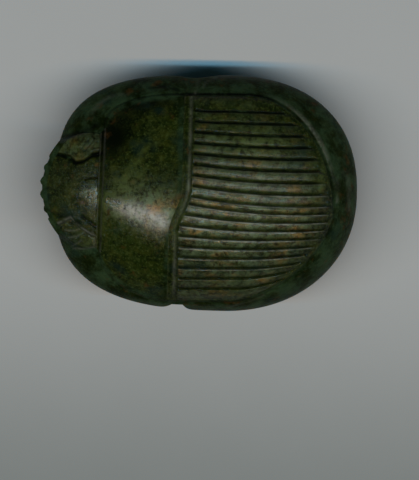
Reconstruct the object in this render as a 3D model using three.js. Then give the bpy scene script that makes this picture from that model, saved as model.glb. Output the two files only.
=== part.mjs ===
// Scarab amulet: one piece of dark green stone, carved as a beetle that lies on a flat oval plate.
// Millimetres. +X runs from the toothed head to the tail, +Z is up, and the origin is in the middle of
// the underside. The back is a dome over an oval outline. Its carving is laid out in plan.

import * as THREE from 'three';

// Overall sizes
const LENGTH = 54;
const WIDTH = 40.2;
const HEIGHT = 23;

// Heights of the body's levels
const EDGE_HEIGHT = 9.6;
const PLATE_THICKNESS = 3;

// How far the plate and the flanks stand back from the widest outline, and the plate's lower chamfer
const PLATE_INSET = 1.4;
const FLANK_INSET = 2.3;
const PLATE_CHAMFER = 0.4;

// Carved work on the back
const GROOVE_WIDTH = 0.8;
const GROOVE_DEPTH = 0.55;
const BORDER_WIDTH = 0.9;
const BORDER_DEPTH = 0.45;
const WAIST_WIDTH = 1.7;
const WAIST_DEPTH = 0.6;
const COLLAR_WIDTH = 1;
const CHEEK_DEPTH = 0.7;
const CHEEK_RISE = 0.3;
const HEAD_STEP = 1.3;
const HEAD_DROP = 5.4;
const HEAD_SIDE_DROP = 1.2;
const HEAD_RIM = 1.3;
const RIM_BLEND = 1.1;
const TOOTH_DEPTH = 0.85;

// Folded legs on the flanks
const LEG_WIDTH = 2.8;
const LEG_RELIEF = 1;

// Carved grooves on the two wing cases, beside the seam between them. The upper case's ridges by the
// seam and by the border are narrower and wider than the others.
const UPPER_GROOVES = 9;
const LOWER_GROOVES = 8;
const SEAM_RIDGE_SHARE = 0.67;
const EDGE_RIDGE_SHARE = 1.33;
const GROOVE_RUN_OUT = 0.06;
const UPPER_CORNER_LINE = 0.96;

// How finely the surface is divided between neighbouring carved lines
const HEAD_STEPS = 8;
const COLLAR_STEPS = 2;
const CHEST_STEPS = 8;
const WAIST_STEPS = 3;
const WING_STEPS = 10;
const OUTLINE_PASSES = 12;
const HEAD_BLEND_STEPS = 3;

// Rings over the sloping rim: each lies a share of the border groove's width and of the rest outwards
const RIM_RINGS = [
  { border: 0.5, rest: 0, cut: 1 },
  { border: 1, rest: 0, cut: 0 },
  { border: 1, rest: 0.35, cut: 0 },
  { border: 1, rest: 0.65, cut: 0 },
  { border: 1, rest: 0.87, cut: 0 },
  { border: 1, rest: 1, cut: 0 },
];
// Rings down the flank, as shares of the way from the widest outline to the plate
const FLANK_RINGS = [0.1, 0.22, 0.34, 0.45, 0.56, 0.67, 0.78, 0.89, 1];
const SHELL_TURN = { from: 0.04, to: 0.38 };
const LEG_START = 0.3;
const LEG_EDGE = { from: 0.25, to: 1.35 };

// Plan of the free form: X as shares of the length and Y as shares of the width, from the middle
const OVAL = {
  centreX: 0.083,
  frontX: -0.452,
  upper: { frontPower: 3.1, tailPower: 2.35 },
  lower: { frontPower: 2.8, tailPower: 2.1 },
};
const NOTCHES = {
  upper: { x: -0.02, spread: 0.06, depth: 0.016 },
  lower: { x: -0.062, spread: 0.026, depth: 0.03 },
};
const HEAD = {
  middleY: 0.006,
  bow: 0.378,
  frontUpperY: 0.208,
  frontLowerY: -0.206,
  rearUpperX: -0.314,
  rearLowerX: -0.32,
  rearUpperY: 0.232,
  rearLowerY: -0.243,
  cheekBow: 0.016,
  raySpread: 0.85,
};
// Lines that part the cheeks from the head shield: places as shares of the way back, then of the way
// across from either side
const CHEEK_LINES = {
  upper: [[0, 0.151], [0.35, 0.2], [0.5, 0.25], [0.66, 0.24], [0.85, 0.185], [1, 0.18]],
  lower: [[0, 0.14], [0.42, 0.234], [0.6, 0.16], [0.88, 0.112], [1, 0.1]],
  halfWidth: 0.03,
  slope: 1.5,
};
// Tips of the teeth, from the upper side to the lower one
const TOOTH_PLACES = [0.142, 0.094, 0.031, -0.025, -0.094, -0.134];
const TOOTH_SHARPNESS = 1.8;
const CHEST = {
  frontUpperY: 0.261,
  frontLowerY: -0.266,
  upperCorner: 2.3,
  lowerCorner: 1.8,
};
const COLLAR_START = 0.3;
const WAIST = { upperX: -0.053, lowerX: -0.092, stepFromY: 0.016, stepToY: -0.184, hollow: 0.05 };
const WINGS = {
  apexX: 0.421,
  apexY: -0.076,
  seamFrontY: -0.051,
  seamBow: -0.02,
  upper: { frontY: 0.403, arcX: 0.153, arcWidth: 0.483, power: 1.9, endWidth: 0.483 },
  lower: { frontY: -0.456, arcX: 0.108, arcWidth: 0.376, power: 1.6, endWidth: 0.312 },
};

// The crown of the dome follows the beetle's own middle line, which isn't quite straight
const MIDDLE_LINE = [[-0.32, 0.03], [-0.07, -0.08], [0.421, -0.07]];

// Powers of the free curves: the dome's crown and shoulder and how late its level lines turn from
// ellipses to the oval, the head's fall and a side contour's reach
const DOME_CROWN = 2.5;
const DOME_SHOULDER = 0.62;
const DOME_SQUARING = 4;
const HEAD_FALL = 1.3;
const CONTOUR_REACH = 3;

// Legs as strokes on each flank: start and end, X as a share of the length, Z as a share of the height
const LEG_STROKES = [
  { from: [-0.11, 0.34], to: [-0.3, 0.29] },
  { from: [-0.3, 0.29], to: [-0.42, 0.19] },
  { from: [-0.06, 0.33], to: [0.06, 0.22] },
  { from: [0.06, 0.22], to: [0.17, 0.18] },
  { from: [0.08, 0.34], to: [0.25, 0.27] },
  { from: [0.25, 0.27], to: [0.42, 0.18] },
];

const STONE_COLOUR = 0x2f3a24;
const STONE_ROUGHNESS = 0.38;

const { clamp, lerp, smoothstep } = THREE.MathUtils;
const mix = (a, b, t) => [lerp(a[0], b[0], t), lerp(a[1], b[1], t)];
const place = (shareX, shareY) => [shareX * LENGTH, shareY * WIDTH];
const sideOf = (v, form) => (v >= 0 ? form.upper : form.lower);
const hump = (t) => 4 * t * (1 - t);

// Value at one position on a line of straight pieces through [position, value] points
function onLine(points, position) {
  let i = 0;
  while (i + 2 < points.length && position > points[i + 1][0]) i += 1;
  const share = (position - points[i][0]) / (points[i + 1][0] - points[i][0]);
  return lerp(points[i][1], points[i + 1][1], clamp(share, 0, 1));
}

// The plain oval: radius from its widest point in one direction, one power curve for each quarter
const ovalReach = (isFront) => (isFront ? OVAL.centreX - OVAL.frontX : 0.5 - OVAL.centreX) * LENGTH;

function ovalRadius(angle) {
  const side = sideOf(Math.sin(angle), OVAL);
  const isFront = Math.cos(angle) < 0;
  const power = isFront ? side.frontPower : side.tailPower;
  const along = Math.pow(Math.abs(Math.cos(angle)) / ovalReach(isFront), power);
  const across = Math.pow(Math.abs(Math.sin(angle)) / (0.5 * WIDTH), power);
  return Math.pow(along + across, -1 / power);
}

// The notch at the waist: how far it cuts in at a place along the outline
function notchDepth(x, isUpper) {
  const notch = isUpper ? NOTCHES.upper : NOTCHES.lower;
  const offset = (x / LENGTH - notch.x) / notch.spread;
  return notch.depth * WIDTH * Math.exp(-offset * offset);
}

// Front edge of the head: a shallow arc. Its bow is how far it falls back, as a share of the length,
// half the width away from its foremost point.
function headArcX(y) {
  const offset = (y / WIDTH - HEAD.middleY) * 2;
  return (HEAD.bow * offset * offset - 0.5) * LENGTH;
}

// Teeth: the arc is cut back between neighbouring tooth tips
function toothCut(y) {
  const tips = TOOTH_PLACES.map((share) => share * WIDTH);
  for (let i = 0; i + 1 < tips.length; i += 1) {
    const gap = tips[i] - tips[i + 1];
    const fromTip = Math.min(tips[i] - y, y - tips[i + 1]) / (gap / 2);
    if (fromTip >= 0) return TOOTH_DEPTH * Math.pow(fromTip, TOOTH_SHARPNESS);
  }
  return 0;
}

// The widest outline in one direction from the oval's centre, with the teeth and the waist notches
function outlinePoint(angle) {
  const centre = OVAL.centreX * LENGTH;
  const ray = [Math.cos(angle), Math.sin(angle)];
  const oval = ovalRadius(angle);
  const notched = oval - notchDepth(centre + oval * ray[0], ray[1] >= 0);
  if (ray[0] > -HEAD.raySpread) return [centre + notched * ray[0], notched * ray[1]];
  let headRadius = oval;
  for (let pass = 0; pass < OUTLINE_PASSES; pass += 1) {
    const y = headRadius * ray[1];
    headRadius = (headArcX(y) + toothCut(y) - centre) / ray[0];
  }
  const radius = Math.max(headRadius, oval);
  return [centre + radius * ray[0], radius * ray[1]];
}

// Lengthwise lines from the upper border, v = 1, over the seam, v = 0, to the lower border, v = -1.
// Each groove has a lip, a bed and a lip. One plain line rounds off the upper case's rear corner.
function lengthwiseLines() {
  const halfGroove = (v) => GROOVE_WIDTH / 2 / (sideOf(v, WINGS).arcWidth * WIDTH);
  const beds = [];
  for (let k = UPPER_GROOVES; k >= 1; k -= 1) {
    beds.push((k - 1 + SEAM_RIDGE_SHARE) / (UPPER_GROOVES - 1 + SEAM_RIDGE_SHARE + EDGE_RIDGE_SHARE));
  }
  beds.push(0);
  for (let k = 1; k <= LOWER_GROOVES; k += 1) {
    beds.push(-k / (LOWER_GROOVES + 1));
  }
  const lines = [{ v: 1, bed: 0 }, { v: UPPER_CORNER_LINE, bed: 0 }];
  for (const bed of beds) {
    lines.push({ v: bed + halfGroove(bed), bed: 0 });
    lines.push({ v: bed, bed: 1 });
    lines.push({ v: bed - halfGroove(bed), bed: 0 });
  }
  lines.push({ v: -1, bed: 0 });
  return lines.map((line, i) => ({ ...line, even: i / (lines.length - 1) }));
}

// Cross lines. Each gives the plan point where a lengthwise line crosses it. At the head the lengthwise
// lines are spread evenly.
function headFrontPoint(line) {
  const y = lerp(HEAD.frontUpperY, HEAD.frontLowerY, line.even) * WIDTH;
  return [headArcX(y) + HEAD_RIM, y];
}

function headRearPoint(line) {
  const shareX = lerp(HEAD.rearUpperX, HEAD.rearLowerX, line.even);
  return place(shareX, lerp(HEAD.rearUpperY, HEAD.rearLowerY, line.even));
}

function chestFrontPoint(line) {
  const [headX] = headRearPoint(line);
  return [headX + COLLAR_WIDTH, lerp(CHEST.frontUpperY, CHEST.frontLowerY, line.even) * WIDTH];
}

function waistY(line) {
  const border = line.v >= 0 ? WINGS.upper.frontY : WINGS.lower.frontY;
  return lerp(WINGS.seamFrontY, border, Math.abs(line.v)) * WIDTH;
}

function waistX(y) {
  const step = smoothstep(-y / WIDTH, -WAIST.stepFromY, -WAIST.stepToY);
  return lerp(WAIST.upperX, WAIST.lowerX, step) * LENGTH;
}

function chestRearPoint(line) {
  const y = waistY(line);
  return [waistX(y), y];
}

function wingFrontPoint(line) {
  const [x, y] = chestRearPoint(line);
  return [x + WAIST_WIDTH, y];
}

// Border of the wing cases behind their widest place: a power curve that meets at the apex
function wingArcX(side, fromSeam) {
  const share = clamp(fromSeam / (side.arcWidth * WIDTH), 0, 1);
  const rise = Math.pow(1 - Math.pow(share, side.power), 1 / side.power);
  return lerp(side.arcX, WINGS.apexX, rise) * LENGTH;
}

function wingBorderY(side, x) {
  const share = clamp((x / LENGTH - side.arcX) / (WINGS.apexX - side.arcX), 0, 1);
  const fall = Math.pow(1 - Math.pow(share, side.power), 1 / side.power);
  const sign = side === WINGS.upper ? 1 : -1;
  return (WINGS.apexY + sign * side.arcWidth * fall) * WIDTH;
}

function wingEndPoint(line) {
  const side = sideOf(line.v, WINGS);
  const fromSeam = side.endWidth * Math.abs(line.v) * WIDTH;
  return [wingArcX(side, fromSeam), WINGS.apexY * WIDTH + Math.sign(line.v) * fromSeam];
}

// Side contours of the three regions, at a share t of the way back
function headSide(isUpper, t, front, rear) {
  const bow = HEAD.cheekBow * WIDTH * hump(t);
  const point = mix(front, rear, t);
  return [point[0], point[1] + (isUpper ? bow : -bow)];
}

function chestSide(isUpper, t, front, rear) {
  const power = 2 / (isUpper ? CHEST.upperCorner : CHEST.lowerCorner);
  const turn = (t * Math.PI) / 2;
  const back = 1 - Math.pow(Math.cos(turn), power);
  return [lerp(front[0], rear[0], back), lerp(front[1], rear[1], Math.pow(Math.sin(turn), power))];
}

function wingSide(isUpper, t, front, rear) {
  const x = lerp(front[0], rear[0], t);
  const border = wingBorderY(isUpper ? WINGS.upper : WINGS.lower, x);
  return [x, lerp(front[1], border, smoothstep(t, 0, 0.5))];
}

// A region's point: straight between its two cross lines, pushed out to its side contour near it
function regionPoint(region, line, t) {
  const straight = mix(region.front(line), region.rear(line), t);
  if (!region.side) return straight;
  const edge = line.v >= 0 ? region.upperEdge : region.lowerEdge;
  const edgeFront = region.front(edge);
  const edgeRear = region.rear(edge);
  const contour = region.side(line.v >= 0, t, edgeFront, edgeRear);
  const chord = mix(edgeFront, edgeRear, t);
  const pull = Math.pow(Math.abs(line.v), CONTOUR_REACH);
  const x = straight[0] + (contour[0] - chord[0]) * pull;
  const y = straight[1] + (contour[1] - chord[1]) * pull;
  return [x, y + region.bow * WIDTH * hump(t) * (1 - Math.abs(line.v))];
}

// Height of the smooth back: a dome over the oval, with a soft hollow across the waist. Its level lines
// are ellipses round the crown and turn to the oval at the edge.
function domeHeight(x, y) {
  const dx = x - OVAL.centreX * LENGTH;
  const edge = clamp(Math.hypot(dx, y) / ovalRadius(Math.atan2(y, dx)), 0, 1);
  const middle = onLine(MIDDLE_LINE, x / LENGTH) * WIDTH;
  const halfWidth = 0.5 * WIDTH + (y > middle ? -middle : middle);
  const crown = Math.hypot(dx / ovalReach(dx < 0), (y - middle) / halfWidth);
  const share = clamp(lerp(crown, edge, Math.pow(edge, DOME_SQUARING)), 0, 1);
  const rise = Math.pow(1 - Math.pow(share, DOME_CROWN), DOME_SHOULDER);
  const fromWaist = (x - waistX(y)) / (WAIST.hollow * LENGTH);
  const hollow = WAIST_DEPTH * Math.exp(-fromWaist * fromWaist) * rise;
  return EDGE_HEIGHT + (HEIGHT - EDGE_HEIGHT) * rise - hollow;
}

// Height of the head: it starts a step below the chest and falls away to the teeth
function headHeight(x, y) {
  const rear = HEAD.rearLowerX * LENGTH;
  const start = domeHeight(rear, HEAD.middleY * WIDTH) - HEAD_STEP;
  const forward = clamp((rear - x) / (rear + LENGTH / 2), 0, 1);
  const sideways = (y / WIDTH - HEAD.middleY) / HEAD.frontUpperY;
  return start - HEAD_DROP * Math.pow(forward, HEAD_FALL) - HEAD_SIDE_DROP * sideways * sideways;
}

// The sunk band across the waist, between the chest and the wing cases
function waistCut(x, y) {
  const across = clamp((x - waistX(y)) / WAIST_WIDTH, 0, 1);
  return WAIST_DEPTH * Math.sin(Math.PI * across);
}

// Grooves run out at both ends in a short slope
function grooveCut(line, t) {
  const ends = smoothstep(t, 0, GROOVE_RUN_OUT) * smoothstep(1 - t, 0, GROOVE_RUN_OUT);
  return GROOVE_DEPTH * line.bed * ends;
}

// The cheeks stand a little above the head shield, behind a groove that bends inwards
function cheekCut(line, t) {
  const across = Math.min(line.even, 1 - line.even);
  const groove = onLine(line.even < 0.5 ? CHEEK_LINES.upper : CHEEK_LINES.lower, t);
  const inwards = (across - groove) / CHEEK_LINES.halfWidth;
  const rise = CHEEK_RISE * smoothstep(-inwards, 0, CHEEK_LINES.slope);
  return CHEEK_DEPTH * Math.exp(-inwards * inwards) - rise;
}

// The collar climbs from the head to the chest, after a narrow level strip
function collarHeight(x, y, t) {
  return lerp(headHeight(x, y), domeHeight(x, y), smoothstep(t, COLLAR_START, 1));
}

// Regions of the back from head to tail, each between two cross lines. Its height function gives the
// carved surface at a plan point, for one lengthwise line at a share t of the way back.
function backRegions(lines) {
  const edges = { upperEdge: lines[0], lowerEdge: lines[lines.length - 1], bow: 0 };
  const even = (share) => share;
  const closerAtEnds = (share) => (1 - Math.cos(Math.PI * share)) / 2;
  return [
    {
      ...edges,
      front: headFrontPoint,
      rear: headRearPoint,
      side: headSide,
      steps: HEAD_STEPS,
      spacing: even,
      height: (x, y, line, t) => headHeight(x, y) - cheekCut(line, t),
    },
    {
      ...edges,
      front: headRearPoint,
      rear: chestFrontPoint,
      steps: COLLAR_STEPS,
      spacing: even,
      height: (x, y, line, t) => collarHeight(x, y, t),
    },
    {
      ...edges,
      front: chestFrontPoint,
      rear: chestRearPoint,
      side: chestSide,
      steps: CHEST_STEPS,
      spacing: even,
      height: domeHeight,
    },
    {
      ...edges,
      front: chestRearPoint,
      rear: wingFrontPoint,
      steps: WAIST_STEPS,
      spacing: even,
      height: (x, y) => domeHeight(x, y) - waistCut(x, y),
    },
    {
      ...edges,
      front: wingFrontPoint,
      rear: wingEndPoint,
      side: wingSide,
      bow: WINGS.seamBow,
      steps: WING_STEPS,
      spacing: closerAtEnds,
      height: (x, y, line, t) => domeHeight(x, y) - grooveCut(line, t),
    },
  ];
}

// The grid of the back: rows from head to tail, and in each row one vertex for each lengthwise line
function backRows(lines) {
  const rows = [];
  for (const region of backRegions(lines)) {
    const first = rows.length === 0 ? 0 : 1;
    for (let step = first; step <= region.steps; step += 1) {
      const t = region.spacing(step / region.steps);
      rows.push(lines.map((line) => {
        const [x, y] = regionPoint(region, line, t);
        return new THREE.Vector3(x, y, region.height(x, y, line, t));
      }));
    }
  }
  return rows;
}

// Distance in side view from a leg stroke, in millimetres
function strokeDistance(stroke, x, z) {
  const from = [stroke.from[0] * LENGTH, stroke.from[1] * HEIGHT];
  const to = [stroke.to[0] * LENGTH, stroke.to[1] * HEIGHT];
  const run = [to[0] - from[0], to[1] - from[1]];
  const share = ((x - from[0]) * run[0] + (z - from[1]) * run[1]) / (run[0] * run[0] + run[1] * run[1]);
  const nearest = mix(from, to, clamp(share, 0, 1));
  return Math.hypot(x - nearest[0], z - nearest[1]);
}

function legRelief(x, z) {
  const nearest = Math.min(...LEG_STROKES.map((stroke) => strokeDistance(stroke, x, z)));
  const offset = nearest / (LEG_WIDTH / 2);
  return LEG_RELIEF * (1 - smoothstep(offset, LEG_EDGE.from, LEG_EDGE.to));
}

// Rings of the body outside the back's grid. Each goes once round, one vertex for each border vertex.
// The first headCount border vertices run along the front of the head.
function bodyRings(border, headCount) {
  const centre = OVAL.centreX * LENGTH;
  const angles = border.map((vertex) => Math.atan2(vertex.y, vertex.x - centre));
  const outline = angles.map(outlinePoint);
  const headSteps = border.map((vertex, i) => Math.min(i, headCount - 1 - i));
  const headShares = headSteps.map((step) => clamp(step / HEAD_BLEND_STEPS, 0, 1));
  const topHeight = (x, y, i) => lerp(domeHeight(x, y) - waistCut(x, y), headHeight(x, y), headShares[i]);
  const outlineHeights = outline.map(([x, y], i) => topHeight(x, y, i));

  // Where the grid's border lies above or below the dome, the rim takes up the difference
  const stepAt = (vertex, i, distance) => {
    const step = vertex.z - topHeight(vertex.x, vertex.y, i);
    return step * (1 - smoothstep(distance, 0, RIM_BLEND));
  };

  const rimRing = (ring) => border.map((vertex, i) => {
    const width = Math.hypot(outline[i][0] - vertex.x, outline[i][1] - vertex.y);
    const distance = ring.border * BORDER_WIDTH + ring.rest * (width - BORDER_WIDTH);
    const [x, y] = mix([vertex.x, vertex.y], outline[i], distance / width);
    const cut = BORDER_DEPTH * ring.cut * (1 - headShares[i]);
    return new THREE.Vector3(x, y, topHeight(x, y, i) + stepAt(vertex, i, distance) - cut);
  });

  const insetPoint = (i, inset) => {
    const radius = ovalRadius(angles[i]) - inset;
    return [centre + radius * Math.cos(angles[i]), radius * Math.sin(angles[i])];
  };

  const flankRing = (share) => border.map((vertex, i) => {
    const z = lerp(outlineHeights[i], PLATE_THICKNESS, share);
    const relief = legRelief(outline[i][0], z) * smoothstep(share, 0, LEG_START);
    const turn = smoothstep(share, SHELL_TURN.from, SHELL_TURN.to);
    const [x, y] = mix(outline[i], insetPoint(i, FLANK_INSET - relief), turn);
    return new THREE.Vector3(x, y, z);
  });

  const plateRing = (inset, z) => border.map((vertex, i) => {
    const [x, y] = insetPoint(i, inset);
    return new THREE.Vector3(x, y, z);
  });

  return [
    ...RIM_RINGS.map(rimRing),
    ...FLANK_RINGS.map(flankRing),
    plateRing(PLATE_INSET, PLATE_THICKNESS),
    plateRing(PLATE_INSET, PLATE_CHAMFER),
    plateRing(PLATE_INSET + PLATE_CHAMFER, 0),
  ];
}

// One closed surface: the grid of the back, the rings down to the plate's lower edge, and a flat underside
function scarabGeometry() {
  const lines = lengthwiseLines();
  const rows = backRows(lines);
  const columns = lines.length;
  const vertices = rows.flat();
  const triangles = [];
  const quad = (a, b, c, d) => triangles.push(a, b, c, a, c, d);
  const index = (row, column) => row * columns + column;

  for (let row = 0; row + 1 < rows.length; row += 1) {
    for (let column = 0; column + 1 < columns; column += 1) {
      quad(index(row, column), index(row, column + 1), index(row + 1, column + 1), index(row + 1, column));
    }
  }

  const last = rows.length - 1;
  const loop = [];
  for (let column = 0; column < columns; column += 1) loop.push(index(0, column));
  for (let row = 1; row < last; row += 1) loop.push(index(row, columns - 1));
  for (let column = columns - 1; column >= 0; column -= 1) loop.push(index(last, column));
  for (let row = last - 1; row > 0; row -= 1) loop.push(index(row, 0));

  let inner = loop;
  for (const ring of bodyRings(loop.map((i) => vertices[i]), columns)) {
    const outer = ring.map((vertex) => vertices.push(vertex) - 1);
    for (let i = 0; i < outer.length; i += 1) {
      const next = (i + 1) % outer.length;
      quad(inner[i], outer[i], outer[next], inner[next]);
    }
    inner = outer;
  }

  const middle = vertices.push(new THREE.Vector3(OVAL.centreX * LENGTH, 0, 0)) - 1;
  inner.forEach((vertex, i) => triangles.push(middle, inner[(i + 1) % inner.length], vertex));

  const geometry = new THREE.BufferGeometry().setFromPoints(vertices);
  geometry.setIndex(triangles);
  geometry.computeVertexNormals();
  return geometry;
}

const stone = new THREE.MeshStandardMaterial({
  color: STONE_COLOUR,
  roughness: STONE_ROUGHNESS,
  metalness: 0,
});

const scarab = new THREE.Mesh(scarabGeometry(), stone);
scarab.name = 'scarab';

const amulet = new THREE.Group();
amulet.add(scarab);

export default amulet;
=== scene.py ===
"""Scarab amulet: the carved green stone beetle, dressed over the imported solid.

Millimetres inside this script, +X from the toothed head to the tail, +Z up through the back. The stone
is one closed skin. A fine grid covers the carved back, rings lead over the rim and down the flanks, and
the plate closes it below. The plan is the solid's own plan, and the finer carving is added to it.
"""

import math

import bpy
import numpy as np
from mathutils import Matrix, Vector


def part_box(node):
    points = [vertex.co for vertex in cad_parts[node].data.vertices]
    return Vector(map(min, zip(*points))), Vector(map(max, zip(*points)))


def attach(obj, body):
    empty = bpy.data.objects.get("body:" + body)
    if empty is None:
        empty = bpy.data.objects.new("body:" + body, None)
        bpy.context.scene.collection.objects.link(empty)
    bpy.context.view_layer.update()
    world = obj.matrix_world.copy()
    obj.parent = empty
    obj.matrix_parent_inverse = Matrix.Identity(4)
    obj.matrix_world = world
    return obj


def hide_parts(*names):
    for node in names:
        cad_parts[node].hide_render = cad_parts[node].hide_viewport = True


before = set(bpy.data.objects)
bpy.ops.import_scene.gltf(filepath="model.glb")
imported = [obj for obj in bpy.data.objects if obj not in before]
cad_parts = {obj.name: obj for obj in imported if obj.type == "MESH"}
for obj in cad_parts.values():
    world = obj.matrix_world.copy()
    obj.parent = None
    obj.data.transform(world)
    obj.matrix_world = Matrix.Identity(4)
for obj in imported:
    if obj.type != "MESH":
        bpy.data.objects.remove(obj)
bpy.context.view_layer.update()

MM = 0.001
LOW, HIGH = (np.array(corner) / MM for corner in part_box("scarab"))
LENGTH, WIDTH, HEIGHT = HIGH - LOW
RANDOM = np.random.default_rng(1907)

# Heights of the body's levels, and how far the plate and the flanks stand back from the outline
EDGE_HEIGHT = 9.6
PLATE_THICKNESS = 3.0
PLATE_INSET = 1.4
FLANK_INSET = 2.3
PLATE_CHAMFER = 0.4

# The solid's plan: X as shares of the length and Y as shares of the width, from the middle
OVAL = {"centre_x": 0.083, "front_x": -0.452, "front_powers": (3.1, 2.8), "tail_powers": (2.35, 2.1)}
NOTCHES = {"x": (-0.02, -0.062), "spread": (0.06, 0.026), "depth": (0.016, 0.03)}
HEAD = {
    "middle_y": 0.006,
    "bow": 0.378,
    "front_y": (0.208, -0.206),
    "rear_x": (-0.314, -0.32),
    "rear_y": (0.232, -0.243),
    "cheek_bow": 0.016,
    "ray_spread": 0.85,
}
CHEST = {"front_y": (0.261, -0.266), "corner": (2.3, 1.8)}
WAIST = {"x": (-0.053, -0.092), "step_from_y": 0.016, "step_to_y": -0.184, "hollow": 0.05}
WINGS = {
    "apex": (0.421, -0.076),
    "seam_front_y": -0.051,
    "seam_bow": -0.02,
    "front_y": (0.403, -0.456),
    "arc_x": (0.153, 0.108),
    "arc_width": (0.483, 0.376),
    "power": (1.9, 1.6),
    "end_width": (0.483, 0.312),
}

# Teeth, head, waist and dome: tooth tips as shares of the width, sizes in millimetres, the powers of the
# curves, and the line of the dome's crown as shares of the length and the width
TOOTH_PLACES = (0.142, 0.094, 0.031, -0.025, -0.094, -0.134)
TOOTH_DEPTH = 0.85
TOOTH_SHARPNESS = 1.8
HEAD_RIM = 1.3
HEAD_STEP = 1.3
HEAD_DROP = 5.4
HEAD_SIDE_DROP = 1.2
HEAD_FALL = 1.3
COLLAR_WIDTH = 1.0
WAIST_WIDTH = 1.7
WAIST_DEPTH = 0.6
DOME_CROWN = 2.5
DOME_SHOULDER = 0.62
DOME_SQUARING = 4
MIDDLE_LINE = {"x": (-0.32, -0.07, 0.421), "y": (0.02, -0.092, -0.08)}
CONTOUR_REACH = 3

# Lines round the upper and the lower cheek: the way back, the way across from the head's own side, the
# depth in millimetres, the pale dust in the line and how worn the cheek is
CHEEK_LINES = (
    {"back": (0, 0.35, 0.5, 0.66, 0.85, 1), "across": (0.151, 0.2, 0.25, 0.24, 0.185, 0.18),
     "depth": 0.45, "dust_and_highlight": 0, "wear_and_sheen": 0.3},
    {"back": (0, 0.42, 0.5, 0.6, 0.88, 1), "across": (0.14, 0.234, 0.19, 0.16, 0.112, 0.1),
     "depth": 0.2, "dust_and_highlight": 0.4, "wear_and_sheen": 0.1},
)
CHEEK_HALF_WIDTH = 0.016
CHEEK_RISE = 0.3

# The wing cases: how many grooves, the ridges by the seam and by the border as shares of the others, the
# grooves' half width and depth in millimetres, and the ridges' rounding and slope
UPPER_GROOVES = 9
LOWER_GROOVES = 8
SEAM_RIDGE_SHARE = 0.67
EDGE_RIDGE_SHARE = 1.33
GROOVE_HALF_WIDTH = 0.2
GROOVE_DEPTH = 0.26
RIDGE_CROWN = 0.24
RIDGE_CROWN_POWER = 2.6
RIDGE_TILT = 0.38
RIDGE_WALL = 0.13
GROOVE_RUN_OUT = 0.09
GROOVE_WANDER = {"amount": 0.04, "length": 12}
GROOVE_UNEVENNESS = {"amount": 0.15, "length": 8}
# Painted shade in the grooves: its offset from the bed, its reach, and its share on the lower half
GROOVE_SHADE = {"above": 0.08, "reach": 0.24, "middle_share": 0.4}
WING_ROW_CROWDING = 0.6
# Paler worn colour on the ridge tops, strongest along the band where the lights' glint falls: wear and
# painted sheen
WING_WEAR_AND_SHEEN = {"middle_y": -5, "reach": 11, "edge_share": 0.1, "tail_share": 0.3, "patch_length": 6}
# A pale painted highlight line on each ridge's upper crest, strongest about the band of the lights' glint
WING_CREST = {"place": 0.15, "half_width": 0.06, "dust_and_highlight": 3.0, "middle_y": -5, "reach": 6, "tail_share": 0.4,
              "patch_length": 5}
WING_POLISH = {"edge": 0.12, "middle": 0.5, "crest": 0.3}

# The border line round the back, and how far out the rim takes up its height
BORDER_WIDTH = 0.9
BORDER_LINE_WIDTH = 0.22
BORDER_DEPTH = 0.22
RIM_BLEND = 1.1

# The head's polish and its glint by the collar
HEAD_POLISH = 0.2
HEAD_GLINT = {"y": -0.8, "reach": 1.3, "polish": 0.7}

# The collar: places and half width of its two lines as shares of its length, and their depth
COLLAR_LINES = {"places": (0.15, 0.85), "half_width": 0.13, "depth": 0.14, "dust_and_highlight": 0.2}
COLLAR_RISE_FROM = 0.3
COLLAR_POLISH = 0.1

# The chest's glint runs back from one Y to another, and its reach grows from the collar to the waist.
# Painted warm sheen in the worn colours lies on both sides of it, and pale painted highlight specks in it.
CHEST_GLINT = {"y": (-1.6, -5.3), "reach": (0.8, 2.5), "upper_share": 0.5}
CHEST_POLISH = 0.1
CHEST_UPPER_WARM_SHEEN = {"above": 1.2, "reach": 2.6}
CHEST_LOWER_WARM_SHEEN = {"below": 1.5, "reach": 0.9, "amount": 0.8}
CHEST_HIGHLIGHT_SPECKS = {"below": 0.2, "reach": 1.1, "amount": 1.1}

# The waist: a thin and a wide line, with places and half widths as shares of its length, and painted shade
# beside
WAIST_LINES = (
    {"place": 0.06, "half_width": 0.1, "depth": 0.12, "dust_and_highlight": 0.08},
    {"place": 0.72, "half_width": 0.17, "depth": 0.2, "dust_and_highlight": 0.4},
)
WAIST_SHADE = {"beds": ((0.35, 0.12), (1, 0.1)), "amount": 0.35}
WAIST_HOLLOW = 0.12
WAIST_PATCH_LENGTH = 5
WAIST_POLISH = 0.08

# Rings over the rim, in millimetres from the border and then as shares of the rest, and down the flank
RIM_DISTANCES = (0.12, 0.24, 0.34, 0.44, 0.54, 0.64, 0.78, 0.92)
RIM_SHARES = (0.14, 0.3, 0.46, 0.62, 0.76, 0.88, 0.96, 1.0)
FLANK_SHARES = (0.03, 0.08, 0.14, 0.2, 0.27, 0.34, 0.41, 0.48, 0.55, 0.62, 0.69, 0.76, 0.84, 0.92, 1.0)
FLANK_TURN = (0.04, 0.38)
# Painted shade along the border line, strongest where the border faces +Y, away from the lights
BORDER_SHADE = {"distance": 0.4, "reach": 0.38, "low_share": 0.2}
# Painted highlight: a pale line on the rim where it catches the lights at the upper tail corner
TAIL_PAINTED_GLINT = {"angle": 0.62, "spread": 0.36, "distance": 0.85, "reach": 0.16, "amount": 0.6}
PLATE_ROUNDING = 0.15
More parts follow.
